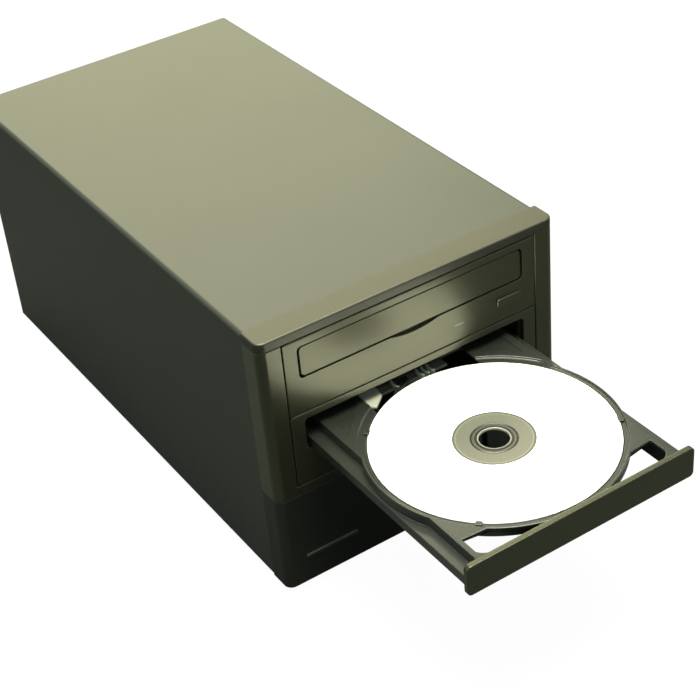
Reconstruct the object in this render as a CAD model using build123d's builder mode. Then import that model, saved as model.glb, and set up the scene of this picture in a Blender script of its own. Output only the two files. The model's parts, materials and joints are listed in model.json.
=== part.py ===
from build123d import *
import math
import os

# Disc duplicator tower: a steel case with a three-piece plastic front, two stacked tray drives
# and a control panel.  Millimetres.  X runs across the front, +Y towards the rear, +Z up.
# The origin lies on the table, under the middle of the whole part with its lower tray open.

# ---- Case ----
case_width = 173.7
case_depth = 325.0            # front face of the drives to the back face of the rear flanges
foot_height = 3.0             # gap between the case and the table
foot_radius = 8.0
foot_inset = 22.0             # foot centre from the sides and ends of the case
sheet = 1.0                   # steel sheet of the case
cover_inset = 0.6             # the steel cover lies this far inside the plastic front's sides
cover_step = 1.2              # the cover's top lies this far below the front cap's top
cover_bend = 2.5              # outer radius of the cover's long folds
rear_flange = 12.0            # width of the cover's turned-in rear edges
seat_gap = 0.1                # between sheets that lie side by side
rear_reach = 3.0              # what stands out behind the rear flanges
pan_wall = 14.0               # height of the base pan's side walls
screw_head, screw_rise = 3.0, 1.8
cover_screw_heights = (25.0, 80.0, 135.0)
vent_count, vent_pitch, vent_size = 7, 8.0, (26.0, 3.5)
vent_x = 54.0                 # middle of each group of rear slots, from the middle
plate_window = (-55.0, 62.0)  # front plate's way through behind the controls
window_rail = 7.0             # front plate left below that way through

# ---- Plastic front, in three stacked modules ----
bezel_depth = 15.0
bezel_wall = 2.5
corner_radius = 4.75          # upright front corners
cap_height = 5.3
cap_edge = 1.0                # round of the cap's upper edge
lower_panel_height = 56.7
bottom_rail = 5.4             # bay frame below the lower drive
bay_gap = 0.4                 # between a drive's bezel and the bay frame
ridge_length, ridge_height, ridge_proud = 31.0, 2.0, 0.8
ridge_x, ridge_z = -59.0, 16.6      # ridge centre, from the middle and from the panel's foot

# ---- Drives ----
drive_width = 148.0
drive_height = 42.0
drive_depth = 172.0
bezel_plate = 5.0             # thickness of a drive's own bezel
body_width = 146.0
body_sheet = 0.8
body_lift = 0.35              # drive body above and below, inside the bezel's height
recess_width, recess_height = 132.8, 18.1
recess_floor = 19.8           # recess above the bezel's lower edge
recess_depth = 3.4
recess_radius = 2.5
mouth_width = 131.0           # way through for the tray
mouth_floor, mouth_top = 20.1, 37.0
scoop_width, scoop_drop, scoop_depth = 28.6, 2.1, 2.0
lens_x, lens_h = 26.6, 9.5
lens_width, lens_height = 5.8, 1.2
eject_x, eject_h = 56.8, 11.7
eject_width, eject_height = 14.8, 4.6
eject_proud = 1.2
eject_travel = 0.8
button_gap = 0.25

# ---- Tray ----
disc_radius = 60.0
disc_thickness = 1.2
disc_bore = 7.5
disc_open_y = -61.3           # disc centre from the drives' front face with the tray open
door_width = 130.6
door_height = 16.8
door_thickness = 3.0
door_radius = 2.5
door_over_deck = 1.8          # the door's top edge above the deck
door_flush = 0.3              # a closed door stands this far inside the front face
tray_sink = 4.0               # an open tray lies this much lower than a closed one
deck_width = 115.0
deck_thickness = 2.0
well_radius = 60.5
well_depth = 1.7
rim_wall = 3.0
ledge_radius = 62.6           # shallow step round the well
ledge_depth = 0.9
pad_ledge_radius = 65.0       # wider step behind the widest part of the disc
pad_ledge_start = 18.0        # where it starts, behind the disc centre
pocket_depth = 0.8
pocket_inner, pocket_outer = 36.0, 53.0        # three-cornered pockets, from the middle
pocket_rear, pocket_step, pocket_front = 74.0, 62.0, 45.0     # and behind the disc centre
window_inner, window_knee = 31.0, 41.6         # front windows of the tray, from the middle
window_corner, window_outer = 46.0, 54.5
window_front = 1.2            # web left behind the door
side_wall = 1.5               # tray's walls along the deck
rail_width = 6.8
rail_drop = 5.5               # top of the side rails below the deck
rail_height = 5.5
tray_tail = 81.0              # the tray's rear end behind the disc centre
slot_half = 31.5              # half width of the pickup slot
slot_end = 69.0
window_radius = 64.0
rest_gap = 0.3                # between pieces that slide past each other

# ---- Drive insides ----
chassis_wall = 6.5
chassis_top = 38.6
turntable_radius = 14.0
turntable_top = 27.4
spindle_radius = 1.0
gear_radius = 8.0             # pitch radius of the loading gear
gear_teeth = 16
sled_travel = 34.0
clamper_radius = 13.0
front_beam_top = 8.0
rear_beam_foot, rear_beam_top = 16.0, 30.0

guide_edge = 59.0             # inner edge of the chassis guides under the rails
guide_thickness = 3.0
beam = 4.0                    # chassis beams, front to rear
deck_foot, deck_sheet = 12.0, 3.0     # laser deck above the drive's floor
deck_half = 30.0              # half width of the opening in the laser deck
deck_before, deck_behind = 22.0, 48.0  # laser deck's ends from the spindle, sled travel apart
rod_spread, rod_radius = 24.0, 1.5    # the two rods that carry the sled
motor_radius, motor_top = 12.5, 21.0
disc_rest = 2.2               # thickness of the turntable's flange
sled_half, sled_length = 27.5, 20.0
sled_start = 18.0             # sled's front edge behind the spindle
bridge_half, bridge_sheet = 17.0, 0.8
gear_x, gear_back = -45.0, 14.0       # loading gear, from the middle and behind the bezel
gear_lift, gear_layer = 9.0, 3.0
post_radius = 1.5
drive_board_half, board_sheet = 60.0, 1.6
vent_hole = 3.0               # radius of the holes in a drive's lower plate

# ---- Drive cage ----
cage_wall = 1.2
cage_depth = 150.0
cage_opening, cage_rim = 48.0, 20.0   # half width of the shelf's opening, and its rim
drive_screw_holes = (47.4, 126.65)    # screws behind a drive's bezel
drive_screw_height = 10.0

# ---- Controls ----
lcd_x, lcd_z = 8.0, 35.0      # display centre, from the middle and from the panel's foot
lcd_view = (64.5, 16.4)
key_count = 4
key_pitch = 16.0
key_x, key_z = 14.0, 13.0     # middle of the key row
key_width, key_height = 12.0, 6.0
key_proud = 1.5
key_travel = 1.0
key_names = ("key_up", "key_down", "key_enter", "key_cancel")

# ---- Power supply, switch and fan ----
supply_size = (125.0, 100.0, 63.5)
supply_x = -18.0
inlet_x, switch_x = -48.0, -8.0
fan_size, fan_depth = 60.0, 25.0
fan_x, fan_z = 0.0, 112.0
fan_bore = 28.5
fan_holes = 50.0              # hole to hole along a side

# ---- Places worked out from the sizes above ----
half_width = case_width / 2
panel_foot = foot_height
panel_top = panel_foot + lower_panel_height
lower_drive_z = panel_top + bottom_rail
upper_drive_z = lower_drive_z + drive_height
bay_top = upper_drive_z + drive_height + bay_gap
cap_top = bay_top + cap_height
cover_top = cap_top - cover_step
cover_half = half_width - cover_inset
inner_half = cover_half - sheet - seat_gap
tray_reach = -disc_open_y + well_radius + door_thickness + 2.2
tray_travel = tray_reach + door_flush
front_y = tray_reach - (tray_reach + case_depth + rear_reach) / 2
rear_y = front_y + case_depth
disc_y = front_y + disc_open_y
door_back_y = front_y - tray_reach + door_thickness
spindle_y = disc_y + tray_travel
deck_top_open = recess_floor + (recess_height + door_height) / 2 - door_over_deck - tray_sink
slope = tray_sink / tray_travel
drive_floors = {"upper": upper_drive_z, "lower": lower_drive_z}

os.makedirs("parts", exist_ok=True)


def save(piece, name):
    """Label a finished piece and write it to its own file."""
    piece.part.label = name
    export_step(piece.part, f"parts/{name}.step")


def block(x_span, y_span, z_span, mode=Mode.ADD):
    """Box between two values on each axis, in the part being built."""
    spans = (x_span, y_span, z_span)
    with Locations(tuple((low + high) / 2 for low, high in spans)):
        Box(*(high - low for low, high in spans), mode=mode)


def rod(centre, radius, length, axis=Axis.Z, mode=Mode.ADD):
    """Round bar or hole along one axis, centred on a point."""
    turns = {Axis.X: (0, 90, 0), Axis.Y: (90, 0, 0), Axis.Z: (0, 0, 0)}
    with Locations(centre):
        Cylinder(radius, length, rotation=turns[axis], mode=mode)


def front_plate_shape(y, centre, size, radius, depth, mode=Mode.ADD):
    """Rounded plate in the XZ plane that runs from y towards the rear."""
    with BuildSketch(Plane.XZ.offset(-y)) as outline:
        with Locations(centre):
            RectangleRounded(*size, radius)
    extrude(outline.sketch, amount=-depth, mode=mode)


def bezel_module(z_span, wall_top, wall_foot):
    """Hollow front module: upright front corners rounded, open at the rear."""
    y_span = (front_y, front_y + bezel_depth)
    block((-half_width, half_width), y_span, z_span)
    front = edges().filter_by(Axis.Z).group_by(Axis.Y)[0]
    fillet(front, corner_radius)
    inner = half_width - bezel_wall
    inner_span = (front_y + bezel_wall, front_y + bezel_depth)
    heights = (z_span[0] + wall_foot, z_span[1] - wall_top)
    block((-inner, inner), inner_span, heights, mode=Mode.SUBTRACT)


# ================= Plastic front =================

with BuildPart() as bezel_cap:
    bezel_module((bay_top, cap_top), bezel_wall, 0)
    top_edges = edges().filter_by_position(Axis.Z, cap_top, cap_top)
    rear_edge = top_edges.sort_by(Axis.Y)[-1:]
    fillet([edge for edge in top_edges if edge not in rear_edge], cap_edge)
save(bezel_cap, "bezel_cap")

bay_half = drive_width / 2 + bay_gap
with BuildPart() as bay_frame:
    bezel_module((panel_top, bay_top), 0, bottom_rail - bezel_wall)
    through = (front_y - 1, front_y + bezel_depth + 1)
    for side in (-1, 1):
        returns = sorted((side * bay_half, side * (bay_half + bezel_wall)))
        block(returns, (front_y, front_y + bezel_depth), (panel_top, bay_top))
    block((-bay_half, bay_half), through, (lower_drive_z, bay_top + 1), mode=Mode.SUBTRACT)
save(bay_frame, "bay_frame")


def key_places():
    """Middle of each key, left to right."""
    first = key_x - key_pitch * (key_count - 1) / 2
    return [(first + key_pitch * place, panel_foot + key_z) for place in range(key_count)]


key_radius = 1.5
with BuildPart() as lower_panel:
    bezel_module((panel_foot, panel_top), bezel_wall, bezel_wall)
    lcd_middle = (lcd_x, panel_foot + lcd_z)
    front_plate_shape(front_y - 1, lcd_middle, lcd_view, 1.0, bezel_wall + 2, Mode.SUBTRACT)
    for middle in key_places():
        hole = (key_width + 2 * button_gap, key_height + 2 * button_gap)
        front_plate_shape(front_y - 1, middle, hole, key_radius, bezel_wall + 2, Mode.SUBTRACT)
    ridge_middle = (ridge_x, panel_foot + ridge_z)
    ridge = (ridge_length, ridge_height)
    front_plate_shape(front_y - ridge_proud, ridge_middle, ridge, 0.9, ridge_proud + 1)
save(lower_panel, "lower_panel")

key_flange = 1.2
for name, middle in zip(key_names, key_places()):
    with BuildPart() as key:
        face = front_y - key_proud
        front_plate_shape(face, middle, (key_width, key_height), key_radius - button_gap,
                          key_proud + bezel_wall + rest_gap)
        fillet(faces().sort_by(Axis.Y)[0].edges(), 0.6)
        back = front_y + bezel_wall + rest_gap
        wide = (key_width + 2 * key_flange, key_height + 2 * key_flange)
        front_plate_shape(back, middle, wide, key_radius, key_flange)
    save(key, name)

window_thickness = 1.2
lcd_board = (80.0, 36.0)
lcd_can = (71.3, 24.2)
with BuildPart() as lcd_window:
    size = tuple(side + 2 * key_flange for side in lcd_view)
    front_plate_shape(front_y + bezel_wall, lcd_middle, size, 1.0, window_thickness)
save(lcd_window, "lcd_window")

with BuildPart() as lcd_module:
    can_y = front_y + bezel_wall + window_thickness
    board_y = can_y + 7.0
    front_plate_shape(can_y, lcd_middle, lcd_can, 1.0, board_y - can_y)
    front_plate_shape(board_y, lcd_middle, lcd_board, 1.0, 1.6)
save(lcd_module, "lcd_module")

with BuildPart() as key_board:
    board_y = front_y + bezel_wall + key_travel + 2 * rest_gap + key_flange
    middle = (key_x, panel_foot + key_z - 1.0)
    long = key_pitch * key_count + 6.0
    front_plate_shape(board_y, middle, (long, key_height + 2.5), 1.0, 1.6)
    for place in key_places():
        front_plate_shape(board_y + 1.6, place, (6.0, 6.0), 0.5, 3.5)
save(key_board, "key_board")

# ================= Steel case =================

plate_y = front_y + bezel_depth
pan_floor = panel_foot
pan_half = inner_half - seat_gap
cage_half = body_width / 2 + rest_gap
shelf_top = lower_drive_z + body_lift
window_foot = panel_foot + window_rail

with BuildPart() as front_plate:
    block((-inner_half, inner_half), (plate_y, plate_y + sheet), (pan_floor + sheet, cap_top - 3.0))
    drives = (-cage_half, cage_half)
    through = (plate_y - 1, plate_y + sheet + 1)
    bay_span = (shelf_top - 0.1, upper_drive_z + drive_height)
    block(drives, through, bay_span, mode=Mode.SUBTRACT)
    block(plate_window, through, (window_foot, panel_top - 3.0), mode=Mode.SUBTRACT)
save(front_plate, "front_plate")

supply_back = rear_y - 2 * sheet
supply_front = supply_back - supply_size[1]
board_size = (96.0, 70.0)
board_lift = 8.0
board_middle = (10.0, front_y + 85.0)
with BuildPart() as base_pan:
    pan_span = (plate_y + sheet, rear_y - 2 * sheet)
    block((-pan_half, pan_half), pan_span, (pan_floor, pan_floor + sheet))
    for side in (-1, 1):
        wall = sorted((side * pan_half, side * (pan_half - sheet)))
        block(wall, pan_span, (pan_floor, pan_floor + pan_wall))
    for across in (-1, 1):
        for along in (-1, 1):
            place = (board_middle[0] + across * (board_size[0] / 2 - 4),
                     board_middle[1] + along * (board_size[1] / 2 - 4))
            height = board_lift - sheet
            rod((*place, pan_floor + sheet + height / 2), 3.0, height)
save(base_pan, "base_pan")

with BuildPart() as feet:
    for across in (-1, 1):
        for y in (front_y + foot_inset, rear_y - foot_inset):
            place = (across * (half_width - foot_inset), y, foot_height / 2)
            rod(place, foot_radius, foot_height)
    rims = edges().filter_by(GeomType.CIRCLE).group_by(Axis.Z)[0]
    fillet(rims, 0.8)
save(feet, "rubber_feet")

supply_window = (supply_size[0] - 8.0, supply_size[2] - 10.0)
supply_middle = (supply_x, pan_floor + sheet + supply_size[2] / 2)
with BuildPart() as rear_panel:
    panel_y = rear_y - 2 * sheet
    block((-pan_half, pan_half), (panel_y, panel_y + sheet), (pan_floor, cover_top - sheet - seat_gap))
    front_plate_shape(panel_y - 1, supply_middle, supply_window, 3.0, sheet + 2, Mode.SUBTRACT)
    rod((fan_x, panel_y, fan_z), fan_bore, 3 * sheet, Axis.Y, Mode.SUBTRACT)
    for across in (-1, 1):
        for up in (-1, 1):
            hole = (fan_x + across * fan_holes / 2, panel_y, fan_z + up * fan_holes / 2)
            rod(hole, 2.2, 3 * sheet, Axis.Y, Mode.SUBTRACT)
    for side in (-1, 1):
        for row in range(vent_count):
            slot_middle = (side * vent_x, fan_z + vent_pitch * (row - (vent_count - 1) / 2))
            front_plate_shape(panel_y - 1, slot_middle, vent_size, 1.7, sheet + 2, Mode.SUBTRACT)
save(rear_panel, "rear_panel")

with BuildPart() as case_cover:
    cover_span = (plate_y, rear_y)
    block((-cover_half, cover_half), cover_span, (pan_floor, cover_top))
    folds = edges().filter_by(Axis.Y).group_by(Axis.Z)[-1]
    fillet(folds, cover_bend)
    inner = cover_half - sheet
    through = (plate_y - 1, rear_y + 1)
    block((-inner, inner), through, (pan_floor - 1, cover_top - sheet), mode=Mode.SUBTRACT)
    for side in (-1, 1):
        flange = sorted((side * inner, side * (inner - rear_flange)))
        block(flange, (rear_y - sheet, rear_y), (pan_floor, cover_top - sheet))
save(case_cover, "case_cover")

with BuildPart() as cover_screws:
    for side in (-1, 1):
        for height in cover_screw_heights:
            spot = side * (cover_half - sheet - rear_flange / 2)
            rod((spot, rear_y + screw_rise / 2, height), screw_head, screw_rise, Axis.Y)
    fillet(edges().filter_by(GeomType.CIRCLE).group_by(Axis.Y)[-1], 0.8)
save(cover_screws, "cover_screws")

cage_span = (plate_y + sheet, plate_y + sheet + cage_depth)
cage_top = upper_drive_z + drive_height - 2.0
drive_screw_y = [front_y + bezel_plate + hole for hole in drive_screw_holes]
with BuildPart() as drive_cage:
    for side in (-1, 1):
        wall = sorted((side * cage_half, side * (cage_half + cage_wall)))
        block(wall, cage_span, (pan_floor + sheet, cage_top))
    block((-cage_half, cage_half), cage_span, (shelf_top - cage_wall, shelf_top))
    opening = (cage_span[0] + cage_rim, cage_span[1] - cage_rim)
    block((-cage_opening, cage_opening), opening, (shelf_top - 3, shelf_top + 1), mode=Mode.SUBTRACT)
save(drive_cage, "drive_cage")

with BuildPart() as drive_screws:
    for floor in drive_floors.values():
        for y in drive_screw_y:
            for side in (-1, 1):
                spot = side * (cage_half + cage_wall + 1.0)
                rod((spot, y, floor + drive_screw_height), screw_head, 2.0, Axis.X)
save(drive_screws, "drive_screws")

# ================= Power supply and fan =================

with BuildPart() as supply_case:
    x_span = (supply_x - supply_size[0] / 2, supply_x + supply_size[0] / 2)
    z_span = (pan_floor + sheet, pan_floor + sheet + supply_size[2])
    block(x_span, (supply_front, supply_back), z_span)
    vertical = edges().filter_by(Axis.Y)
    fillet(vertical, 1.0)
    inside = tuple(value + turn for value, turn in zip(x_span, (1.0, -1.0)))
    hollow = tuple(value + turn for value, turn in zip(z_span, (1.0, -1.0)))
    block(inside, (supply_front + 1.0, supply_back - 1.0), hollow, mode=Mode.SUBTRACT)
    inlet_middle = (inlet_x, supply_middle[1])
    switch_middle = (switch_x, supply_middle[1])
    front_plate_shape(supply_back - 2, inlet_middle, (27.4, 19.6), 3.0, 4, Mode.SUBTRACT)
    front_plate_shape(supply_back - 2, switch_middle, (13.4, 19.6), 0.5, 4, Mode.SUBTRACT)
    for row in range(6):
        slot_middle = (supply_x + 48.0, supply_middle[1] - 17.5 + 7.0 * row)
        front_plate_shape(supply_back - 2, slot_middle, (18.0, 3.2), 1.5, 4, Mode.SUBTRACT)
save(supply_case, "power_supply_case")

with BuildPart() as supply_board:
    board_foot = z_span[0] + 1.0
    plate = (supply_front + 3, supply_back - 25)
    block((inside[0] + 2, inside[1] - 2), plate, (board_foot, board_foot + 4))
    coil = (supply_front + 30, supply_front + 60)
    block((supply_x - 20, supply_x + 15), coil, (board_foot + 3, board_foot + 34))
    for x in (supply_x - 48, supply_x - 30):
        rod((x, supply_front + 30, board_foot + 18), 8.0, 32.0)
    fin = (supply_front + 8, supply_front + 66)
    block((supply_x + 26, supply_x + 29), fin, (board_foot + 3, board_foot + 40))
save(supply_board, "power_supply_board")

with BuildPart() as inlet:
    front_plate_shape(supply_back - 18, inlet_middle, (27.0, 19.2), 3.0, 18)
    front_plate_shape(supply_back, inlet_middle, (29.0, 22.0), 3.0, 2.0)
    front_plate_shape(supply_back - 12, inlet_middle, (24.4, 16.0), 3.0, 16, Mode.SUBTRACT)
    for across, up in ((-7, -2), (7, -2), (0, 2)):
        prong = (inlet_x + across, supply_back - 8, supply_middle[1] + up)
        with Locations(prong):
            Box(2.0, 10.0, 4.0)
save(inlet, "power_inlet")

rocker_pivot = (switch_x, supply_back - 3.0, supply_middle[1])
rocker_pin, rocker_length = 1.0, 14.8
with BuildPart() as switch_body:
    front_plate_shape(supply_back - 14, switch_middle, (13.0, 19.2), 0.5, 14)
    front_plate_shape(supply_back, switch_middle, (15.0, 21.0), 1.0, 1.8)
    front_plate_shape(supply_back - 9, switch_middle, (10.6, 16.6), 0.4, 12, Mode.SUBTRACT)
    rod(rocker_pivot, rocker_pin, 11.0, Axis.X)
save(switch_body, "switch_body")

with BuildPart() as rocker:
    with BuildSketch(Plane.YZ.offset(switch_x - 5.0)) as rocker_side:
        with BuildLine():
            y, z = rocker_pivot[1:]
            back, waist, tip, end = y - 2, y + 3.4, y + 4.6, rocker_length / 2
            Polyline((back, z - end), (tip, z - end), (waist, z), (tip, z + end), (back, z + end), close=True)
        make_face()
    extrude(rocker_side.sketch, amount=10.0)
    rod(rocker_pivot, rocker_pin + 0.1, 12.0, Axis.X, Mode.SUBTRACT)
save(rocker, "power_rocker")

fan_y = rear_y - 2 * sheet - fan_depth
with BuildPart() as fan_frame:
    front_plate_shape(fan_y, (fan_x, fan_z), (fan_size, fan_size), 3.0, fan_depth)
    rod((fan_x, fan_y + fan_depth / 2, fan_z), fan_bore, fan_depth + 2, Axis.Y, Mode.SUBTRACT)
    rod((fan_x, fan_y + 2, fan_z), 14.0, 4.0, Axis.Y)
    for turn in (0, 90):
        with Locations(Location((fan_x, fan_y + 1.5, fan_z), (0, turn + 45, 0))):
            Box(2 * fan_bore + 2, 3.0, 3.5)
    for across in (-1, 1):
        for up in (-1, 1):
            hole = (fan_x + across * fan_holes / 2, fan_y + fan_depth / 2, fan_z + up * fan_holes / 2)
            rod(hole, 2.2, fan_depth + 2, Axis.Y, Mode.SUBTRACT)
save(fan_frame, "fan_frame")

blade_count = 7
with BuildPart() as fan_rotor:
    hub_y = (fan_y + 4 + rest_gap, fan_y + fan_depth - 2)
    rod((fan_x, sum(hub_y) / 2, fan_z), 13.5, hub_y[1] - hub_y[0], Axis.Y)
    for blade in range(blade_count):
        with Locations(Location((fan_x, sum(hub_y) / 2, fan_z), (0, 360 / blade_count * blade, 0))):
            with Locations(Location((20.0, 0, 0), (32, 0, 0))):
                Box(15.0, 1.4, 15.0)
save(fan_rotor, "fan_rotor")

wire = 0.8
with BuildPart() as fan_guard:
    ring_y = rear_y + rear_reach - wire
    for radius in (12.0, 18.0, 24.0, 30.0):
        with Locations(Location((fan_x, ring_y, fan_z), (90, 0, 0))):
            Torus(radius, wire)
    leg = fan_holes / math.sqrt(2)
    for turn in (45, -45):
        with Locations(Location((fan_x, ring_y, fan_z), (0, turn, 0))):
            Box(2 * leg + 4, 1.2, 1.4)
    for across in (-1, 1):
        for up in (-1, 1):
            spot = (fan_x + across * fan_holes / 2, fan_z + up * fan_holes / 2)
            length = ring_y + wire - (rear_y - sheet)
            rod((spot[0], rear_y - sheet + length / 2, spot[1]), 3.4, length, Axis.Y)
save(fan_guard, "fan_guard")

with BuildPart() as controller_board:
    foot = pan_floor + board_lift
    x_edges = (board_middle[0] - board_size[0] / 2, board_middle[0] + board_size[0] / 2)
    y_edges = (board_middle[1] - board_size[1] / 2, board_middle[1] + board_size[1] / 2)
    block(x_edges, y_edges, (foot, foot + 1.6))
    block((-5, 23), (y_edges[0] + 20, y_edges[0] + 48), (foot + 1.5, foot + 4.0))
    block((30, 44), (y_edges[0] + 22, y_edges[0] + 42), (foot + 1.5, foot + 3.0))
    for x in (-30, -22):
        block((x, x + 6), (y_edges[0] + 8, y_edges[1] - 8), (foot + 1.5, foot + 10.0))
save(controller_board, "controller_board")

# ================= Drives =================

body_half = body_width / 2
chassis_outer = body_half - body_sheet - rest_gap
chassis_inner = chassis_outer - chassis_wall
rail_outer = deck_width / 2 + rail_width
body_front = front_y + bezel_plate
body_rear = front_y + drive_depth
tail_open = disc_y + tray_tail
rail_foot_open = deck_top_open - rail_drop - rail_height
well_centre = (0, disc_y)


def tray_window(side):
    """Outline of one front window of the tray deck, ended by an arc round the disc."""
    front = door_back_y + window_front
    start = (side * window_knee, disc_y - math.sqrt(window_radius**2 - window_knee**2))
    middle = (side * window_inner, disc_y - math.sqrt(window_radius**2 - window_inner**2))
    tip = (side * math.sqrt(window_radius**2 - (disc_y - front) ** 2), front)
    corner = (side * window_corner, front)
    bend = (side * (window_outer - 3.0), front + 0.9)
    outer_front = (side * window_outer, front + 4.0)
    outer_rear = (side * window_outer, start[1] + 1.0)
    with BuildLine() as outline:
        ThreePointArc(start, middle, tip)
        Line(tip, corner)
        ThreePointArc(corner, bend, outer_front)
        Line(outer_front, outer_rear)
        Line(outer_rear, start)
    return outline.line


def tray_pads(deck_top, middle_y):
    """Wider step and the two three-cornered pockets in the deck behind the disc."""
    top = Plane.XY.offset(deck_top - ledge_depth)
    with BuildSketch(top) as ledge:
        with Locations((0, middle_y)):
            Circle(pad_ledge_radius)
        reach = deck_width / 2 - side_wall
        with Locations((0, middle_y + pad_ledge_start + 40)):
            Rectangle(2 * reach, 80, mode=Mode.INTERSECT)
    extrude(ledge.sketch, amount=2, mode=Mode.SUBTRACT)
    for side in (-1, 1):
        with BuildSketch(Plane.XY.offset(deck_top - pocket_depth)) as pocket:
            with BuildLine():
                rear = middle_y + pocket_rear
                Polyline((side * pocket_outer, rear), (side * pocket_inner, rear),
                         (side * pocket_inner, middle_y + pocket_step),
                         (side * pocket_outer, middle_y + pocket_front), close=True)
            make_face()
        extrude(pocket.sketch, amount=2, mode=Mode.SUBTRACT)


def make_tray(name, deck_top, shift):
    """Disc tray with its well, side rails, front windows and pickup slot."""
    edge = deck_width / 2
    rear = tail_open + shift
    front = door_back_y + shift
    middle_y = disc_y + shift
    with BuildPart() as tray:
        block((-edge, edge), (front, rear), (deck_top - deck_thickness, deck_top))
        rim_foot = deck_top - rail_drop
        rod((0, middle_y, (rim_foot + deck_top) / 2), well_radius + rim_wall, rail_drop)
        for side in (-1, 1):
            wall = sorted((side * (edge - side_wall), side * edge))
            block(wall, (front, rear), (rim_foot, deck_top - 0.5))
        rod((0, middle_y, rim_foot), well_radius, 2 * (rail_drop - well_depth - deck_thickness),
            mode=Mode.SUBTRACT)
        rod((0, middle_y, deck_top), well_radius, 2 * well_depth, mode=Mode.SUBTRACT)
        rod((0, middle_y, deck_top), ledge_radius, 2 * ledge_depth, mode=Mode.SUBTRACT)
        tray_pads(deck_top, middle_y)
        block((-80, 80), (front - 10, front), (rim_foot - 1, deck_top + 1), mode=Mode.SUBTRACT)
        for side in (-1, 1):
            rail = sorted((side * (edge - side_wall), side * rail_outer))
            block(rail, (front, rear), (rim_foot - rail_height, rim_foot))
            with BuildSketch(Plane.XY.offset(deck_top - 4)) as window:
                with Locations((0, shift)):
                    add(make_face(tray_window(side), mode=Mode.PRIVATE))
            extrude(window.sketch, amount=5, mode=Mode.SUBTRACT)
        slot_span = (middle_y, middle_y + slot_end)
        block((-slot_half, slot_half), slot_span, (deck_top - 8, deck_top + 1), mode=Mode.SUBTRACT)
        rod((0, middle_y, deck_top - 4), slot_half, 10, mode=Mode.SUBTRACT)
    save(tray, name)


def make_door(name, door_top, shift):
    """Front plate of the tray."""
    with BuildPart() as door:
        middle = (0, door_top - door_height / 2)
        front_plate_shape(door_back_y - door_thickness + shift, middle,
                          (door_width, door_height), door_radius, door_thickness)
        face = faces().sort_by(Axis.Y)[0]
        fillet(face.edges(), 0.5)
    save(door, name)


def make_bezel(name, floor):
    """Drive front with the door recess, the tray's mouth, finger scoop, lamp slit and button hole."""
    recess_middle = (0, floor + recess_floor + recess_height / 2)
    mouth_middle = (0, floor + (mouth_floor + mouth_top) / 2)
    with BuildPart() as bezel:
        middle = (0, floor + drive_height / 2)
        front_plate_shape(front_y, middle, (drive_width, drive_height), 0.6, bezel_plate)
        front_plate_shape(front_y, recess_middle, (recess_width, recess_height), recess_radius,
                          recess_depth, Mode.SUBTRACT)
        mouth = (mouth_width, mouth_top - mouth_floor)
        front_plate_shape(front_y - 1, mouth_middle, mouth, 1.5, bezel_plate + 2, Mode.SUBTRACT)
        slit = (lens_width, lens_height)
        front_plate_shape(front_y - 1, (lens_x, floor + lens_h), slit, 0.5, bezel_plate + 2, Mode.SUBTRACT)
        hole = (eject_width + 2 * button_gap, eject_height + 2 * button_gap)
        place = (eject_x, floor + eject_h)
        front_plate_shape(front_y - 1, place, hole, 1.5, bezel_plate + 2, Mode.SUBTRACT)
        edge = floor + recess_floor
        with BuildSketch(Plane.XZ.offset(-front_y)) as scoop:
            with BuildLine():
                ends = ((-scoop_width / 2, edge), (scoop_width / 2, edge))
                ThreePointArc(ends[0], (0, edge - scoop_drop), ends[1])
                Line(ends[1], (ends[1][0], edge + 0.5))
                Line((ends[1][0], edge + 0.5), (ends[0][0], edge + 0.5))
                Line((ends[0][0], edge + 0.5), ends[0])
            make_face()
        extrude(scoop.sketch, amount=-scoop_depth, mode=Mode.SUBTRACT)
    save(bezel, name)


def make_front_trim(prefix, floor):
    """Lamp lens and eject button of one drive."""
    with BuildPart() as lens:
        middle = (lens_x, floor + lens_h)
        front_plate_shape(front_y + 0.1, middle, (lens_width, lens_height), 0.5, bezel_plate - 0.1)
    save(lens, f"{prefix}_busy_lens")
    with BuildPart() as button:
        middle = (eject_x, floor + eject_h)
        reach = eject_proud + bezel_plate + rest_gap
        front_plate_shape(front_y - eject_proud, middle, (eject_width, eject_height), 1.25, reach)
        fillet(faces().sort_by(Axis.Y)[0].edges(), 0.5)
        back = front_y - eject_proud + reach
        front_plate_shape(back, middle, (eject_width + 2, eject_height + 2), 1.5, 1.5)
    save(button, f"{prefix}_eject_button")


def make_body(prefix, floor):
    """Steel lid with sides and rear, and the steel plate that closes the drive below."""
    foot = floor + body_lift
    top = floor + drive_height - body_lift
    inner = body_half - body_sheet
    with BuildPart() as lid:
        block((-body_half, body_half), (body_front, body_rear), (foot, top))
        block((-inner, inner), (body_front - 1, body_rear - body_sheet), (foot - 1, top - body_sheet),
              mode=Mode.SUBTRACT)
        block((-45, 45), (body_rear - 2, body_rear + 1), (foot + 4, foot + 16), mode=Mode.SUBTRACT)
    save(lid, f"{prefix}_drive_lid")
    with BuildPart() as plate:
        block((-inner, inner), (body_front, body_rear - body_sheet), (foot, foot + body_sheet))
        for x in (-50, 50):
            for y in (body_front + 20, body_rear - 25):
                rod((x, y, foot), vent_hole, 4.0, mode=Mode.SUBTRACT)
    save(plate, f"{prefix}_drive_base")


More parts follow.
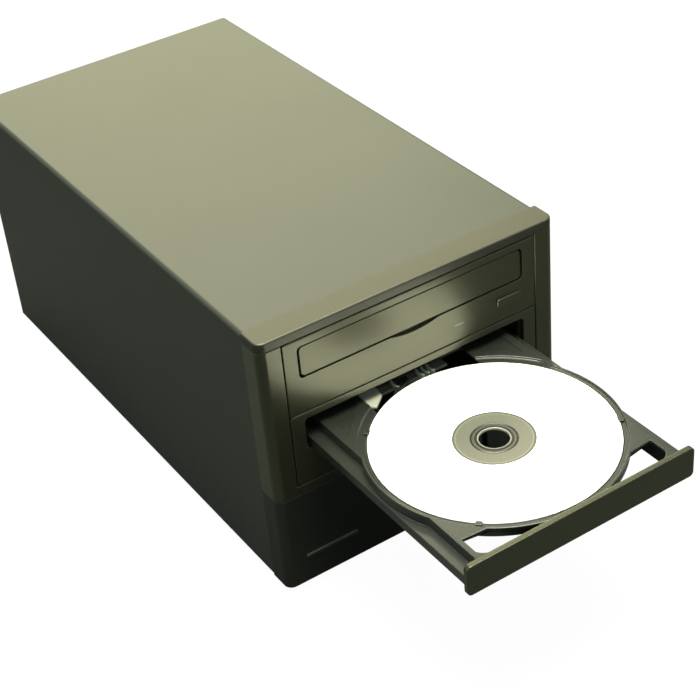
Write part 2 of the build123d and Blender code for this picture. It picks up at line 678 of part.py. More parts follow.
def make_chassis(prefix, floor):
    """Plastic frame: two side walls with sloping tray guides, tied by a front and a rear beam."""
    foot = floor + body_lift + body_sheet
    rear = body_rear - body_sheet - rest_gap
    with BuildPart() as chassis:
        for side in (-1, 1):
            wall = sorted((side * chassis_inner, side * chassis_outer))
            block(wall, (body_front, rear), (foot, floor + chassis_top))
            near = floor + rail_foot_open - rest_gap + slope * (body_front - tail_open)
            far = near + slope * (rear - body_front)
            with BuildSketch(Plane.YZ.offset(min(side * chassis_inner, side * guide_edge))) as guide:
                with BuildLine():
                    Polyline((body_front, near), (rear, far), (rear, far - guide_thickness),
                             (body_front, near - guide_thickness), close=True)
                make_face()
            extrude(guide.sketch, amount=chassis_inner - guide_edge)
        across = (-chassis_inner, chassis_inner)
        block(across, (body_front, body_front + beam), (foot, floor + front_beam_top))
        block(across, (rear - beam, rear), (floor + rear_beam_foot, floor + rear_beam_top))
    save(chassis, f"{prefix}_chassis")


def make_reader(prefix, floor):
    """Laser deck under the tray: frame, spindle motor, turntable and pickup sled on two rods."""
    deck_span = (spindle_y - deck_before, spindle_y + deck_behind + sled_travel)
    plate = (floor + deck_foot, floor + deck_foot + deck_sheet)
    rod_z = plate[1] + 2.0
    motor_foot = plate[1]
    with BuildPart() as traverse:
        block((-chassis_inner, chassis_inner), deck_span, plate)
        opening = (deck_span[0] + 6, deck_span[1] - 6)
        block((-deck_half, deck_half), opening, (plate[0] - 1, plate[1] + 1), mode=Mode.SUBTRACT)
        block((-16, 16), (deck_span[0] + 5, spindle_y + 16), plate)
        for x in (-rod_spread, rod_spread):
            rod((x, sum(deck_span) / 2, rod_z), rod_radius, deck_span[1] - deck_span[0] - 4, Axis.Y)
            for y in (deck_span[0] + 4, deck_span[1] - 4):
                block((x - 3, x + 3), (y - 2, y + 2), (plate[0], rod_z + 2))
        for side in (-1, 1):
            bridge = sorted((side * 20, side * deck_half))
            block(bridge, (deck_span[0] + 3, deck_span[0] + 7), plate)
        motor = (motor_foot, floor + motor_top)
        rod((0, spindle_y, sum(motor) / 2), motor_radius, motor[1] - motor[0])
        rod((0, spindle_y, motor_foot), spindle_radius + 0.05, 40, mode=Mode.SUBTRACT)
    save(traverse, f"{prefix}_laser_deck")
    table = (floor + motor_top + rest_gap, floor + turntable_top)
    with BuildPart() as turntable:
        rod((0, spindle_y, table[0] + disc_rest / 2), turntable_radius, disc_rest)
        rod((0, spindle_y, sum(table) / 2), disc_bore - 0.3, table[1] - table[0])
        fillet(edges().filter_by(GeomType.CIRCLE).group_by(Axis.Z)[-1], 1.2)
        shaft = (plate[0] + 1.5, table[0] + 0.5)
        rod((0, spindle_y, sum(shaft) / 2), spindle_radius, shaft[1] - shaft[0])
    save(turntable, f"{prefix}_turntable")
    sled_y = (spindle_y + sled_start, spindle_y + sled_start + sled_length)
    with BuildPart() as sled:
        block((-sled_half, sled_half), sled_y, (plate[1] + rest_gap, plate[1] + 5))
        block((-14, 14), (sled_y[0], sled_y[1] - 4), (plate[1] + 4, plate[1] + 7))
        rod((0, sled_y[0] + 7, plate[1] + 7.5), 3.0, 3.0)
        for x in (-rod_spread, rod_spread):
            rod((x, sum(sled_y) / 2, rod_z), rod_radius + 0.08, 60, Axis.Y, Mode.SUBTRACT)
    save(sled, f"{prefix}_pickup_sled")


def make_clamp(prefix, floor):
    """Bridge under the lid and the loose round clamper that it carries."""
    bridge = (floor + chassis_top, floor + chassis_top + bridge_sheet)
    bridge_span = (spindle_y - bridge_half, spindle_y + bridge_half)
    with BuildPart() as bar:
        block((-chassis_outer, chassis_outer), bridge_span, bridge)
        rod((0, spindle_y, bridge[0]), clamper_radius - 1.0, 4, mode=Mode.SUBTRACT)
    save(bar, f"{prefix}_clamp_bridge")
    with BuildPart() as clamper:
        rod((0, spindle_y, bridge[1] + 2 * rest_gap), clamper_radius, 2 * rest_gap)
        rod((0, spindle_y, bridge[1] - 0.6), clamper_radius - 2, 3.0)
    save(clamper, f"{prefix}_clamper")


def make_loader(prefix, floor):
    """Loading gear on its post, beside the tray's rail, and the drive's circuit board."""
    foot = floor + body_lift + body_sheet
    gear_y = body_front + gear_back
    upper_layer = floor + gear_lift + gear_layer
    with BuildPart() as gear:
        for layer in (floor + gear_lift, upper_layer):
            rod((gear_x, gear_y, layer), gear_radius - 1.0, gear_layer)
        for tooth in range(gear_teeth):
            turn = (0, 0, 360 / gear_teeth * tooth)
            with Locations(Location((gear_x, gear_y, upper_layer), turn)):
                with Locations((gear_radius - 0.4, 0, 0)):
                    Box(2.6, 1.2, gear_layer)
        rod((gear_x, gear_y, upper_layer), post_radius + 0.06, 20, mode=Mode.SUBTRACT)
    save(gear, f"{prefix}_loading_gear")
    under = foot + 2.4
    top = under + board_sheet
    gear_foot = floor + gear_lift - gear_layer / 2
    with BuildPart() as board:
        half = drive_board_half
        block((-half, half), (body_front + 6, body_rear - 10), (under, top))
        block((-half, 4 - half), (body_front + 8, body_front + 12), (foot, top - 1))
        for x in (3 - half, half - 3):
            for y in (body_front + 25, body_rear - 14):
                rod((x, y, (foot + under) / 2), 2.5, under - foot)
        for radius, reach in ((post_radius, upper_layer + 2.5), (4.0, gear_foot - rest_gap)):
            rod((gear_x, gear_y, (top - 1 + reach) / 2), radius, reach - top + 1)
        block((-40, 40), (body_rear - 16, body_rear - 1.5), (top - 1, foot + 12))
        block((-12, 14), (body_front + 60, body_front + 84), (top - 1, foot + 6))
    save(board, f"{prefix}_drive_board")


for prefix, floor in drive_floors.items():
    shift, lift = (tray_travel, tray_sink) if prefix == "upper" else (0, 0)
    deck_top = floor + deck_top_open + lift
    make_tray(f"{prefix}_tray", deck_top, shift)
    make_door(f"{prefix}_tray_door", deck_top + door_over_deck, shift)
    make_bezel(f"{prefix}_drive_bezel", floor)
    make_front_trim(prefix, floor)
    make_body(prefix, floor)
    make_chassis(prefix, floor)
    make_reader(prefix, floor)
    make_clamp(prefix, floor)
    make_loader(prefix, floor)

disc_foot = lower_drive_z + deck_top_open - well_depth + 0.1
with BuildPart() as disc:
    rod((*well_centre, disc_foot + disc_thickness / 2), disc_radius, disc_thickness)
    rod((*well_centre, disc_foot), disc_bore, 4 * disc_thickness, mode=Mode.SUBTRACT)
    fillet(edges().filter_by(GeomType.CIRCLE).group_by(SortBy.RADIUS)[-1], 0.3)
save(disc, "printable_disc")
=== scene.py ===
import json
import math

import bpy
import bmesh
from mathutils import Matrix, Vector


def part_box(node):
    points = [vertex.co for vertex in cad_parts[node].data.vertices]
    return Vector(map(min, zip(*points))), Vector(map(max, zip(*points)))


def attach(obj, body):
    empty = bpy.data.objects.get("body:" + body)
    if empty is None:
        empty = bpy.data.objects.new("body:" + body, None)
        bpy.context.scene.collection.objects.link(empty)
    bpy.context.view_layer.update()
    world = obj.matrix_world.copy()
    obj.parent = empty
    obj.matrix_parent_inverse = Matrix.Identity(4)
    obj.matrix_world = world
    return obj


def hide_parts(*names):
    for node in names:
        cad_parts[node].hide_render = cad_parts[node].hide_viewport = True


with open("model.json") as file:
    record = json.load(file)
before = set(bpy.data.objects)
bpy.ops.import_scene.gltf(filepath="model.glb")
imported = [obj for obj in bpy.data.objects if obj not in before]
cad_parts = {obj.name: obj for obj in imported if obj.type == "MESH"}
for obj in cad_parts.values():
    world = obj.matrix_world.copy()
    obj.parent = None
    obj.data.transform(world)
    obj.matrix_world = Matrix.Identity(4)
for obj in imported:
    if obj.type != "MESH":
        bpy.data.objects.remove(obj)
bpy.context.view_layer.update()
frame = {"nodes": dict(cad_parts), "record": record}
MM = 0.001
bodies = frame["record"]["behaviour"]["bodies"]
node_body = {node: body for body, nodes in bodies.items() for node in nodes}

# ---------------- Places read from the frame ----------------
drive_low, drive_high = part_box("lower_drive_bezel")
front_y = drive_low.y
drive_foot = drive_low.z
drive_top = drive_high.z
disc_low, disc_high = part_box("printable_disc")
disc_centre = (disc_low + disc_high) / 2
disc_foot = disc_low.z
disc_top = disc_high.z


# ---------------- Materials ----------------
MIX_FIRST, MIX_SECOND = 6, 7    # a Mix node's two colour sockets
MIX_COLOUR = 2                  # its colour output
WEAR_AND_SHEEN_REACH = 0.6 * MM           # how far from an edge the wear and painted highlight go
WEAR_AND_SHEEN_FROM, WEAR_AND_SHEEN_TO = 0.98, 0.80  # lean of the rounded normal where the wear and painted highlight start and are full
GLOSS_BELOW, GLOSS_ABOVE = 0.05, 0.06
GRAIN_HEIGHT = 0.2 * MM


def new_material(name):
    """An empty material with its shader, and a short way to add a node."""
    material = bpy.data.materials.new(name)
    material.use_nodes = True
    tree = material.node_tree
    shader = tree.nodes["Principled BSDF"]

    def node(kind, **values):
        made = tree.nodes.new(kind)
        for key, value in values.items():
            if key in made.inputs:
                made.inputs[key].default_value = value
            else:
                setattr(made, key, value)
        return made

    return material, tree.links, shader, node


def finish_material(name, dark, light, rough, grain, depth, metallic=0.0, coat=0.0, cloud=18.0,
                    edge=0.0, warm=1.0):
    """Solid finish: slow colour change, fine grain in surface and gloss, and edges lightened as
    wear and as a painted highlight.
    """
    material, links, shader, node = new_material(name)
    place = node("ShaderNodeTexCoord")
    slow = node("ShaderNodeTexNoise", Scale=cloud, Detail=4.0, Roughness=0.55)
    links.new(place.outputs["Object"], slow.inputs["Vector"])
    fine = node("ShaderNodeTexNoise", Scale=grain, Detail=3.0, Roughness=0.6)
    links.new(place.outputs["Object"], fine.inputs["Vector"])
    tint = node("ShaderNodeMix", data_type="RGBA")
    tint.inputs[MIX_FIRST].default_value = (*dark, 1)
    tint.inputs[MIX_SECOND].default_value = (*light, 1)
    links.new(slow.outputs["Fac"], tint.inputs[0])
    colour = tint.outputs[MIX_COLOUR]
    # Edges are lightened through the bevel normal: partly wear, partly a painted highlight along
    # rounded edges that catch the light.
    if edge:
        bevel = node("ShaderNodeBevel", Radius=WEAR_AND_SHEEN_REACH, samples=4)
        shape = node("ShaderNodeNewGeometry")
        lean = node("ShaderNodeVectorMath", operation="DOT_PRODUCT")
        links.new(bevel.outputs["Normal"], lean.inputs[0])
        links.new(shape.outputs["Normal"], lean.inputs[1])
        wear_and_sheen = node("ShaderNodeMapRange")
        wear_and_sheen.inputs["From Min"].default_value = WEAR_AND_SHEEN_FROM
        wear_and_sheen.inputs["From Max"].default_value = WEAR_AND_SHEEN_TO
        wear_and_sheen.inputs["To Max"].default_value = edge
        links.new(lean.outputs["Value"], wear_and_sheen.inputs["Value"])
        patchy = node("ShaderNodeMath", operation="MULTIPLY")
        links.new(wear_and_sheen.outputs["Result"], patchy.inputs[0])
        links.new(fine.outputs["Fac"], patchy.inputs[1])
        bright = node("ShaderNodeMix", data_type="RGBA")
        links.new(patchy.outputs["Value"], bright.inputs[0])
        links.new(colour, bright.inputs[MIX_FIRST])
        rubbed_and_lit = [min(1, 2.2 * value + 0.05) for value in light]
        bright.inputs[MIX_SECOND].default_value = (*rubbed_and_lit, 1)
        colour = bright.outputs[MIX_COLOUR]
    links.new(colour, shader.inputs["Base Color"])
    gloss = node("ShaderNodeMapRange")
    gloss.inputs["To Min"].default_value = rough - GLOSS_BELOW
    gloss.inputs["To Max"].default_value = rough + GLOSS_ABOVE
    links.new(fine.outputs["Fac"], gloss.inputs["Value"])
    links.new(gloss.outputs["Result"], shader.inputs["Roughness"])
    bump = node("ShaderNodeBump", Strength=depth, Distance=GRAIN_HEIGHT)
    links.new(fine.outputs["Fac"], bump.inputs["Height"])
    links.new(bump.outputs["Normal"], shader.inputs["Normal"])
    shader.inputs["Metallic"].default_value = metallic
    shader.inputs["Coat Weight"].default_value = coat
    shader.inputs["Coat Roughness"].default_value = rough - 0.04
    shader.inputs["Specular Tint"].default_value = (1, 1, warm, 1)
    shader.inputs["Coat Tint"].default_value = (1, 1, 0.5 + 0.5 * warm, 1)
    return material


# edge: how strongly the edges are lightened, as wear and as a painted highlight; strongest on the
# glossy tray.
FINISHES = {
    "satin_case_steel": dict(dark=(0.024, 0.027, 0.021), light=(0.031, 0.034, 0.027), rough=0.40,
                             grain=1500, depth=0.10, edge=0.25),
    "front_plastic": dict(dark=(0.012, 0.0125, 0.0095), light=(0.016, 0.0165, 0.0125), rough=0.30,
                          grain=2200, depth=0.16, edge=0.45, coat=0.7, warm=0.62),
    "cap_plastic": dict(dark=(0.017, 0.017, 0.012), light=(0.023, 0.0225, 0.016), rough=0.40,
                        grain=2200, depth=0.16, edge=0.6, coat=0.1, warm=0.84),
    "panel_plastic": dict(dark=(0.007, 0.008, 0.006), light=(0.010, 0.011, 0.008), rough=0.36,
                          grain=2200, depth=0.20, edge=0.5),
    "zinc_steel": dict(dark=(0.42, 0.43, 0.43), light=(0.60, 0.61, 0.60), rough=0.34,
                       grain=900, depth=0.06, metallic=0.95, cloud=60),
    "tray_plastic": dict(dark=(0.013, 0.0150, 0.0120), light=(0.019, 0.0215, 0.0175), rough=0.25,
                         grain=2600, depth=0.10, edge=1.0, coat=0.5),
    "dark_plastic": dict(dark=(0.012, 0.012, 0.012), light=(0.020, 0.020, 0.019), rough=0.45,
                         grain=2400, depth=0.2),
    "grey_plastic": dict(dark=(0.09, 0.095, 0.07), light=(0.13, 0.135, 0.10), rough=0.35,
                         grain=2400, depth=0.15, edge=0.5),
    "pale_plastic": dict(dark=(0.30, 0.31, 0.25), light=(0.40, 0.41, 0.34), rough=0.30,
                         grain=2400, depth=0.12, edge=0.6),
    "clear_lens": dict(dark=(0.14, 0.14, 0.11), light=(0.18, 0.18, 0.14), rough=0.2,
                       grain=1500, depth=0.05),
    "board_green": dict(dark=(0.010, 0.055, 0.022), light=(0.016, 0.085, 0.035), rough=0.35,
                        grain=700, depth=0.1, cloud=120),
    "foot_rubber": dict(dark=(0.010, 0.010, 0.010), light=(0.018, 0.018, 0.018), rough=0.75,
                        grain=1800, depth=0.4),
    "screw_steel": dict(dark=(0.34, 0.34, 0.33), light=(0.50, 0.50, 0.48), rough=0.28,
                        grain=1200, depth=0.08, metallic=1.0, cloud=200),
    "motor_metal": dict(dark=(0.48, 0.48, 0.46), light=(0.62, 0.62, 0.59), rough=0.36,
                        grain=900, depth=0.1, metallic=0.9, cloud=90),
    "white_disc": dict(dark=(0.88, 0.88, 0.86), light=(0.91, 0.91, 0.90), rough=0.55,
                       grain=3000, depth=0.04, cloud=30),
}
finishes = {name: finish_material(name, **values) for name, values in FINISHES.items()}


def display_glass():
    """Smoked window: dark and glossy."""
    material, links, shader, node = new_material("display_glass")
    place = node("ShaderNodeTexCoord")
    dust = node("ShaderNodeTexNoise", Scale=400.0, Detail=6.0)
    links.new(place.outputs["Object"], dust.inputs["Vector"])
    gloss = node("ShaderNodeMapRange")
    gloss.inputs["To Min"].default_value = 0.05
    gloss.inputs["To Max"].default_value = 0.14
    links.new(dust.outputs["Fac"], gloss.inputs["Value"])
    links.new(gloss.outputs["Result"], shader.inputs["Roughness"])
    shader.inputs["Base Color"].default_value = (0.012, 0.022, 0.018, 1)
    shader.inputs["Coat Weight"].default_value = 0.6
    return material


finishes["display_glass"] = display_glass()

HUB_RADIUS = 20.0 * MM
HUB_TINT = (0.28, 0.28, 0.225)
# Zones of the hub from its hole outwards: share of its radius, and tone.
# The dark tones over its grooves are painted shade; the light tones over its raised lip and
# stacking ring are painted highlight.
HUB_ZONES = ((0.375, 0.80), (0.402, 0.70), (0.42, 0.045), (0.465, 0.05), (0.485, 0.22),
             (0.53, 0.20), (0.545, 0.04), (0.57, 0.05), (0.59, 0.36), (0.90, 0.37),
             (0.925, 0.60), (0.945, 0.36), (0.99, 0.16))


def hub_finish():
    """Clear middle of the disc: grey zones, with darker rings as painted shade in its grooves and
    lighter rings as painted highlight on its raised lip and stacking ring, set by their radius.
    """
    material, links, shader, node = new_material("disc_hub")
    place = node("ShaderNodeTexCoord")
    shift = node("ShaderNodeVectorMath", operation="SUBTRACT")
    shift.inputs[1].default_value = (disc_centre.x, disc_centre.y, disc_top)
    links.new(place.outputs["Object"], shift.inputs[0])
    radius = node("ShaderNodeVectorMath", operation="LENGTH")
    links.new(shift.outputs["Vector"], radius.inputs[0])
    share = node("ShaderNodeMath", operation="DIVIDE")
    share.inputs[1].default_value = HUB_RADIUS
    links.new(radius.outputs["Value"], share.inputs[0])
    rings = node("ShaderNodeValToRGB")
    ramp = rings.color_ramp
    while len(ramp.elements) < len(HUB_ZONES):
        ramp.elements.new(0.5)
    for element, (spot, tone) in zip(ramp.elements, HUB_ZONES):
        element.position = spot
        element.color = (*(part * tone for part in HUB_TINT), 1)
    links.new(share.outputs["Value"], rings.inputs["Fac"])
    links.new(rings.outputs["Color"], shader.inputs["Base Color"])
    haze = node("ShaderNodeTexNoise", Scale=900.0, Detail=3.0)
    links.new(place.outputs["Object"], haze.inputs["Vector"])
    gloss = node("ShaderNodeMapRange")
    gloss.inputs["To Min"].default_value = 0.22
    gloss.inputs["To Max"].default_value = 0.30
    links.new(haze.outputs["Fac"], gloss.inputs["Value"])
    links.new(gloss.outputs["Result"], shader.inputs["Roughness"])
    return material


finishes["disc_hub"] = hub_finish()

# ---------------- Modelling helpers ----------------
SMOOTH_LIMIT = 50     # degrees, the sharpest edge that is shaded round
SHARP_LIMIT = 35      # degrees, the flattest edge that is rounded off
ROUND_STEPS = 2
MERGE_REACH = 0.005 * MM
LEVEL_REACH = 0.01 * MM
FLAT_LIMIT = 0.5      # degrees between faces that become one before rounding
SLIVER_LIMIT = 0.2    # and after it, on a drive bezel
DRIVE_GAP = 0.2 * MM


def deselect():
    """Leave nothing selected and nothing active."""
    if bpy.context.object and bpy.context.object.mode != "OBJECT":
        bpy.ops.object.mode_set(mode="OBJECT")
    bpy.ops.object.select_all(action="DESELECT")


def use(piece):
    """Make one piece the only one selected, and active."""
    deselect()
    piece.select_set(True)
    bpy.context.view_layer.objects.active = piece


def settle(piece, name, body, slot, finish=None):
    """Name a piece, give it its finish, smooth its round parts and let it ride on a body."""
    use(piece)
    piece.name = piece.data.name = name
    bpy.ops.object.transform_apply(location=True, rotation=True, scale=True)
    piece.data.materials.clear()
    piece.data.materials.append(finishes[finish or slot])
    bpy.ops.object.shade_smooth_by_angle(angle=math.radians(SMOOTH_LIMIT))
    even = piece.modifiers.new("even", "WEIGHTED_NORMAL")
    even.keep_sharp = True
    bpy.ops.object.modifier_apply(modifier=even.name)
    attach(piece, body)
    return piece


def soften(piece, width, share=None):
    """Round a piece's edges; share gives each edge's part of the width from its middle."""
    use(piece)
    bevel = piece.modifiers.new("edge", "BEVEL")
    bevel.width = width
    bevel.segments = ROUND_STEPS
    bevel.use_clamp_overlap = False
    bevel.limit_method = "ANGLE"
    bevel.angle_limit = math.radians(SHARP_LIMIT)
    if share:
        shape = bmesh.new()
        shape.from_mesh(piece.data)
        weight = shape.edges.layers.float.new("bevel_weight_edge")
        for edge in shape.edges:
            lean = edge.calc_face_angle(0) if len(edge.link_faces) == 2 else 0
            middle = (edge.verts[0].co + edge.verts[1].co) / 2
            edge[weight] = share(middle) if lean > math.radians(SHARP_LIMIT) else 0
        shape.to_mesh(piece.data)
        shape.free()
        bevel.limit_method = "WEIGHT"
    bpy.ops.object.modifier_apply(modifier=bevel.name)


def rounded(node, width, slot, share=None, finish=None):
    """Merged copy of a CAD node with its edges rounded; it stands for that node.

    A drive bezel has a share: it is cut back at its foot and top for the gap round the drives,
    and its rounding is held inside the node's box.
    """
    piece = frame["nodes"][node].copy()
    piece.data = piece.data.copy()
    bpy.context.collection.objects.link(piece)
    piece.parent = None
    use(piece)
    bpy.ops.object.mode_set(mode="EDIT")
    bpy.ops.mesh.select_all(action="SELECT")
    bpy.ops.mesh.remove_doubles(threshold=MERGE_REACH)
    if not share:
        bpy.ops.mesh.dissolve_limited(angle_limit=math.radians(FLAT_LIMIT))
    bpy.ops.object.mode_set(mode="OBJECT")
    if share:
        low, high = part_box(node)
        for corner in piece.data.vertices:
            if abs(corner.co.z - low.z) < LEVEL_REACH:
                corner.co.z += DRIVE_GAP
            if abs(corner.co.z - high.z) < LEVEL_REACH:
                corner.co.z -= DRIVE_GAP
    soften(piece, width, share)
    if share:
        for corner in piece.data.vertices:
            for axis, inset in enumerate((0, 0, DRIVE_GAP)):
                kept = max(corner.co[axis], low[axis] + inset)
                corner.co[axis] = min(kept, high[axis] - inset)
        bpy.ops.object.mode_set(mode="EDIT")
        bpy.ops.mesh.select_all(action="SELECT")
        bpy.ops.mesh.dissolve_limited(angle_limit=math.radians(SLIVER_LIMIT))
        bpy.ops.object.mode_set(mode="OBJECT")
    settle(piece, f"{node}_rounded", node_body[node], slot, finish=finish)
    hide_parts(node)
    return piece


# ---------------- Carried-over nodes ----------------
slots = {entry["node"]: entry["material_slot"] for entry in frame["record"]["subparts"]}
for name, thing in frame["nodes"].items():
    thing.data.materials.clear()
    thing.data.materials.append(finishes[slots[name]])

# Nodes with rounded edges, and how far each is rounded, in millimetres.
EDGES = {"bezel_cap": 0.5, "bay_frame": 0.5, "lower_panel": 0.5, "upper_drive_bezel": 0.45,
         "lower_drive_bezel": 0.45, "upper_tray": 0.42, "lower_tray": 0.42,
         "upper_tray_door": 0.4, "lower_tray_door": 0.4, "upper_eject_button": 0.25,
         "lower_eject_button": 0.25, "key_up": 0.25, "key_down": 0.25, "key_enter": 0.25,
         "key_cancel": 0.25, "case_cover": 0.42, "rear_panel": 0.15}
OWN_FINISH = {"bezel_cap": "cap_plastic"}
BEZEL_SIDE = 73.4 * MM  # a bezel's side edges lie farther out than this
BEZEL_RIM = 0.6 * MM    # and its foot and top edges within this of the drive's foot and top
INNER_SHARE = 0.2


def bezel_share(middle):
    """Full width on a drive bezel's outer edges, little on the close edges inside it."""
    pitch = drive_top - drive_foot
    height = (middle.z - drive_foot) % pitch
    outer = abs(middle.x) > BEZEL_SIDE or min(height, pitch - height) < BEZEL_RIM
    return 1.0 if outer else INNER_SHARE


for name, width in EDGES.items():
    inside = bezel_share if name.endswith("drive_bezel") else None
    rounded(name, width * MM, slots[name], inside, OWN_FINISH.get(name))


# ---------------- Drawn pieces ----------------
def drawn_ring(corners, fill):
    """Ring primitive whose corners are put at drawn places, left in edit mode, all selected."""
    deselect()
    bpy.ops.mesh.primitive_circle_add(vertices=len(corners), fill_type=fill, calc_uvs=False,
                                      location=(0, 0, 0))
    piece = bpy.context.object
    for corner, place in zip(piece.data.vertices, corners):
        corner.co = place
    bpy.ops.object.mode_set(mode="EDIT")
    bpy.ops.mesh.select_all(action="SELECT")
    return piece


# ---------------- Disc ----------------
TURN_STEPS = 128
TURN_MERGE = 0.001 * MM


def lathe(name, profile, body, slot, finish=None):
    """Round piece turned from (radius, height) points about the disc's axis."""
    drawn = [(disc_centre.x + r * MM, disc_centre.y, z) for r, z in profile]
    piece = drawn_ring(drawn, "NOTHING")
    bpy.ops.mesh.spin(steps=TURN_STEPS, angle=2 * math.pi, center=disc_centre, axis=(0, 0, 1))
    bpy.ops.mesh.select_all(action="SELECT")
    bpy.ops.mesh.remove_doubles(threshold=TURN_MERGE)
    bpy.ops.mesh.normals_make_consistent(inside=False)
    bpy.ops.object.mode_set(mode="OBJECT")
    return settle(piece, name, body, slot, finish)


DISC_EDGE = 0.3 * MM
disc_profile = [(20.0, disc_foot), (59.7, disc_foot), (60.0, disc_foot + DISC_EDGE),
                (60.0, disc_top - DISC_EDGE), (59.7, disc_top), (20.0, disc_top)]
disc = lathe("disc_body", disc_profile, "disc", "white_disc")
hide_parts("printable_disc")

# The hub's upper side from the rim to the hole: radius, and height over the disc's face, in mm.
HUB_TOP = ((19.95, -0.08), (18.8, -0.10), (18.4, 0.06), (18.0, -0.10), (11.5, -0.10),
           (11.3, -0.30), (10.9, -0.30), (10.7, -0.10), (9.5, -0.10), (9.3, -0.25),
           (8.3, -0.25), (8.1, 0.0), (7.7, 0.0), (7.5, -0.20))
hub_profile = [(7.5, disc_foot), (19.95, disc_foot)]
hub_profile += [(radius, disc_top + height * MM) for radius, height in HUB_TOP]
hub = lathe("disc_hub", hub_profile, "disc", "white_disc", "disc_hub")
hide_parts("printable_disc")


# ---------------- Tray details ----------------
def slab(name, outline, foot, top, body, slot, edge, finish=None):
    """Flat piece with a drawn outline and rounded edges."""
    piece = drawn_ring([(x, y, foot) for x, y in outline], "NGON")
    bpy.ops.mesh.extrude_region_move(TRANSFORM_OT_translate={"value": (0, 0, top - foot)})
    bpy.ops.mesh.select_all(action="SELECT")
    bpy.ops.mesh.normals_make_consistent(inside=False)
    bpy.ops.object.mode_set(mode="OBJECT")
    soften(piece, edge * MM)
    return settle(piece, name, body, slot, finish)


def ring_part(inner, outer, middle, half, steps):
    """Outline of a part of a ring, in millimetres from the disc's centre; angles in degrees."""
    angles = [math.radians(middle + half * (2 * step / steps - 1)) for step in range(steps + 1)]
    far = [(outer * math.cos(angle), outer * math.sin(angle)) for angle in angles]
    near = [(inner * math.cos(angle), inner * math.sin(angle)) for angle in angles]
    return far + near[::-1]


# All in millimetres; outlines are drawn from the disc well's centre, +y to the rear.
WELL_FROM_END = 81.0    # how far that centre lies in front of the tray's rear end
TAB_RING = (59.4, 62.2)
TAB_ANGLES = (43, 137, 226, 334)
TAB_HALF_ANGLE = 1.6    # degrees
TAB_STEPS = 4
LUG = ((-32, 58), (-29, 55.5), (-21.5, 62), (-20.5, 68), (-21, 70), (-32, 70))
BAR = ((-18.5, 57.5), (-16.5, 56), (-3, 65), (-3, 70), (-6, 70))
WEB = ((-20, 64.5), (20, 64.5), (20, 70), (-20, 70))
RIB = ((0, 69.5), (-0.9, 66), (-0.2, 63.2), (0.9, 62.2), (1.7, 62.9), (0.9, 64), (0.6, 66),
       (1.3, 69.5))
RIB_PLACES = (-12, 3.2, 6.4, 9.6)


def tray_details():
    """The small pieces on a tray: name, outline, foot and top over its deck, edge and finish."""
    for number, angle in enumerate(TAB_ANGLES):
        tab = ring_part(*TAB_RING, angle, TAB_HALF_ANGLE, TAB_STEPS)
        yield f"tab_{number}", tab, -0.5, 0.15, 0.2, None
    yield "lug", LUG, -2.6, -0.8, 0.5, "pale_plastic"
    yield "bar", BAR, -3.2, -1.4, 0.4, None
    yield "web", WEB, -4.2, -2.6, 0.3, "grey_plastic"
    for number, place in enumerate(RIB_PLACES):
        rib = [(place + x, y) for x, y in RIB]
        yield f"rib_{number}", rib, -3.4, -1.0, 0.25, "pale_plastic"


def dress_tray(tray):
    """Holding tabs round the well, and the ribbed lugs at the rear end of the pickup slot."""
    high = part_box(tray)[1]
    well_y = high.y - WELL_FROM_END * MM
    for name, outline, foot, top, edge, finish in tray_details():
        placed = [(x * MM, well_y + y * MM) for x, y in outline]
        slab(f"{tray.removesuffix('_tray')}_{name}", placed, high.z + foot * MM,
             high.z + top * MM, tray, "tray_plastic", edge, finish)


dress_tray("lower_tray")
dress_tray("upper_tray")

# ---------------- Ridge on the lower panel ----------------
# The ridge is laid over the panel in the lighter cap plastic as a painted highlight along the
# raised bar.
RIDGE = ((-74.6, -0.85), (-43.4, -0.85), (-43.4, 0.2), (-74.6, 0.2))
RIDGE_FOOT, RIDGE_TOP = 15.5 * MM, 17.7 * MM
panel_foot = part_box("lower_panel")[0].z
slab("panel_ridge", [(x * MM, front_y + y * MM) for x, y in RIDGE],
     panel_foot + RIDGE_FOOT, panel_foot + RIDGE_TOP, "case", "panel_plastic", 0.5, "cap_plastic")

# ---------------- Floor ----------------
FLOOR_SIZE = 12
FLOOR_REFLECTED = (0.032, 0.038, 0.034, 1)  # what the object mirrors
FLOOR_SEEN = (0.86, 0.86, 0.86, 1)          # what the camera sees, under the glow
GLOW_SHARE = 0.97

deselect()
bpy.ops.mesh.primitive_plane_add(size=FLOOR_SIZE, location=(0, 0, 0))
floor = bpy.context.object
floor.name = "floor"
material, links, shader, node = new_material("pale_floor")
shader.inputs["Roughness"].default_value = 0.8
path = node("ShaderNodeLightPath")
seen = node("ShaderNodeMix", data_type="RGBA")
seen.inputs[MIX_FIRST].default_value = FLOOR_REFLECTED
seen.inputs[MIX_SECOND].default_value = FLOOR_SEEN
links.new(path.outputs["Is Camera Ray"], seen.inputs[0])
links.new(seen.outputs[MIX_COLOUR], shader.inputs["Base Color"])
glow = node("ShaderNodeEmission", Strength=1.0)
glow.inputs["Color"].default_value = (1, 1, 1, 1)
share = node("ShaderNodeMath", operation="MULTIPLY")
share.inputs[1].default_value = GLOW_SHARE
links.new(path.outputs["Is Camera Ray"], share.inputs[0])
blend = node("ShaderNodeMixShader")
links.new(share.outputs["Value"], blend.inputs["Fac"])
links.new(shader.outputs["BSDF"], blend.inputs[1])
links.new(glow.outputs["Emission"], blend.inputs[2])
links.new(blend.outputs["Shader"], material.node_tree.nodes["Material Output"].inputs["Surface"])
floor.data.materials.append(material)

# ---------------- Room and lamps ----------------
ROOM_COLOUR = (0.76, 0.95, 0.96, 1)
ROOM_STRENGTH = 0.40

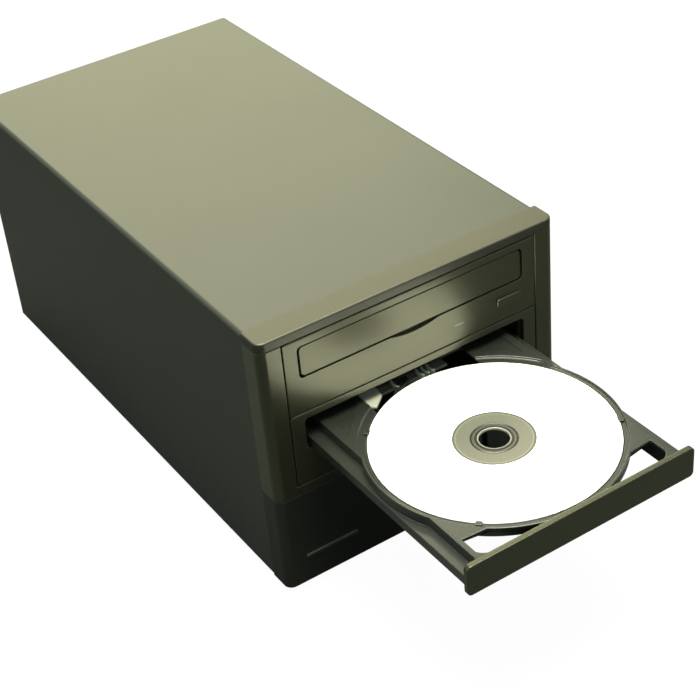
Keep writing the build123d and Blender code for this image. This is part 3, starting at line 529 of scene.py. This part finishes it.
world = bpy.data.worlds.new("studio")
bpy.context.scene.world = world
world.use_nodes = True
tree = world.node_tree
room = tree.nodes["Background"]
room.inputs["Color"].default_value = ROOM_COLOUR
room.inputs["Strength"].default_value = ROOM_STRENGTH
backdrop = tree.nodes.new("ShaderNodeBackground")
backdrop.inputs["Color"].default_value = (1, 1, 1, 1)
backdrop.inputs["Strength"].default_value = 1.0
path = tree.nodes.new("ShaderNodeLightPath")
pick = tree.nodes.new("ShaderNodeMixShader")
tree.links.new(path.outputs["Is Camera Ray"], pick.inputs["Fac"])
tree.links.new(room.outputs["Background"], pick.inputs[1])
tree.links.new(backdrop.outputs["Background"], pick.inputs[2])
tree.links.new(pick.outputs["Shader"], tree.nodes["World Output"].inputs["Surface"])


CASE_MIDDLE = Vector((0, 0, 0.08))


def soft_box(name, place, size, power, colour):
    """Square area lamp that faces the case; size in metres, power in watts."""
    lamp = bpy.data.lights.new(name, "AREA")
    lamp.size = size
    lamp.energy = power
    lamp.color = colour
    thing = bpy.data.objects.new(name, lamp)
    bpy.context.collection.objects.link(thing)
    thing.location = place
    aim = CASE_MIDDLE - Vector(place)
    thing.rotation_euler = aim.to_track_quat("-Z", "Y").to_euler()


soft_box("overhead", (0.05, -0.05, 1.5), 1.0, 75, (1.0, 0.975, 0.79))
soft_box("back_panel", (0.80, 2.0, 1.2), 1.6, 27, (1.0, 0.94, 0.56))
soft_box("front_panel", (0.5, -2.8, 0.7), 1.6, 12, (1.0, 1.0, 0.95))
soft_box("left_panel", (-2.8, 0.6, 0.7), 1.6, 8, (0.95, 1.0, 1.0))
soft_box("right_panel", (2.8, 0.2, 0.7), 1.6, 10, (1.0, 1.0, 0.95))

# ---------------- Camera ----------------
SENSOR_WIDTH, LENS = 36.0, 86.79            # millimetres
CAMERA_ANGLES = (-30.498, 35.424, -5.538)   # azimuth, elevation and roll, in degrees
CAMERA_FROM_DRIVE = Vector((-0.36909, -0.56271, 0.48808))  # from the lower drive's front top
VIEW_DEPTH = 100

camera_data = bpy.data.cameras.new("photo_camera")
camera = bpy.data.objects.new("photo_camera", camera_data)
bpy.context.collection.objects.link(camera)
bpy.context.scene.camera = camera
camera_data.sensor_width = SENSOR_WIDTH
camera_data.sensor_fit = "HORIZONTAL"
camera_data.lens = LENS
azimuth, elevation, roll = (math.radians(angle) for angle in CAMERA_ANGLES)
back = Vector((math.sin(azimuth) * math.cos(elevation),
               -math.cos(azimuth) * math.cos(elevation), math.sin(elevation)))
right = Vector((0, 0, 1)).cross(back).normalized()
up = back.cross(right)
across = math.cos(roll) * right + math.sin(roll) * up
upward = -math.sin(roll) * right + math.cos(roll) * up
turn = Matrix((across, upward, back)).transposed()
camera_place = Vector((0, front_y, drive_top)) + CAMERA_FROM_DRIVE
camera.matrix_world = Matrix.Translation(camera_place) @ turn.to_4x4()
camera_data.clip_end = VIEW_DEPTH

bpy.context.scene.view_settings.view_transform = "Standard"
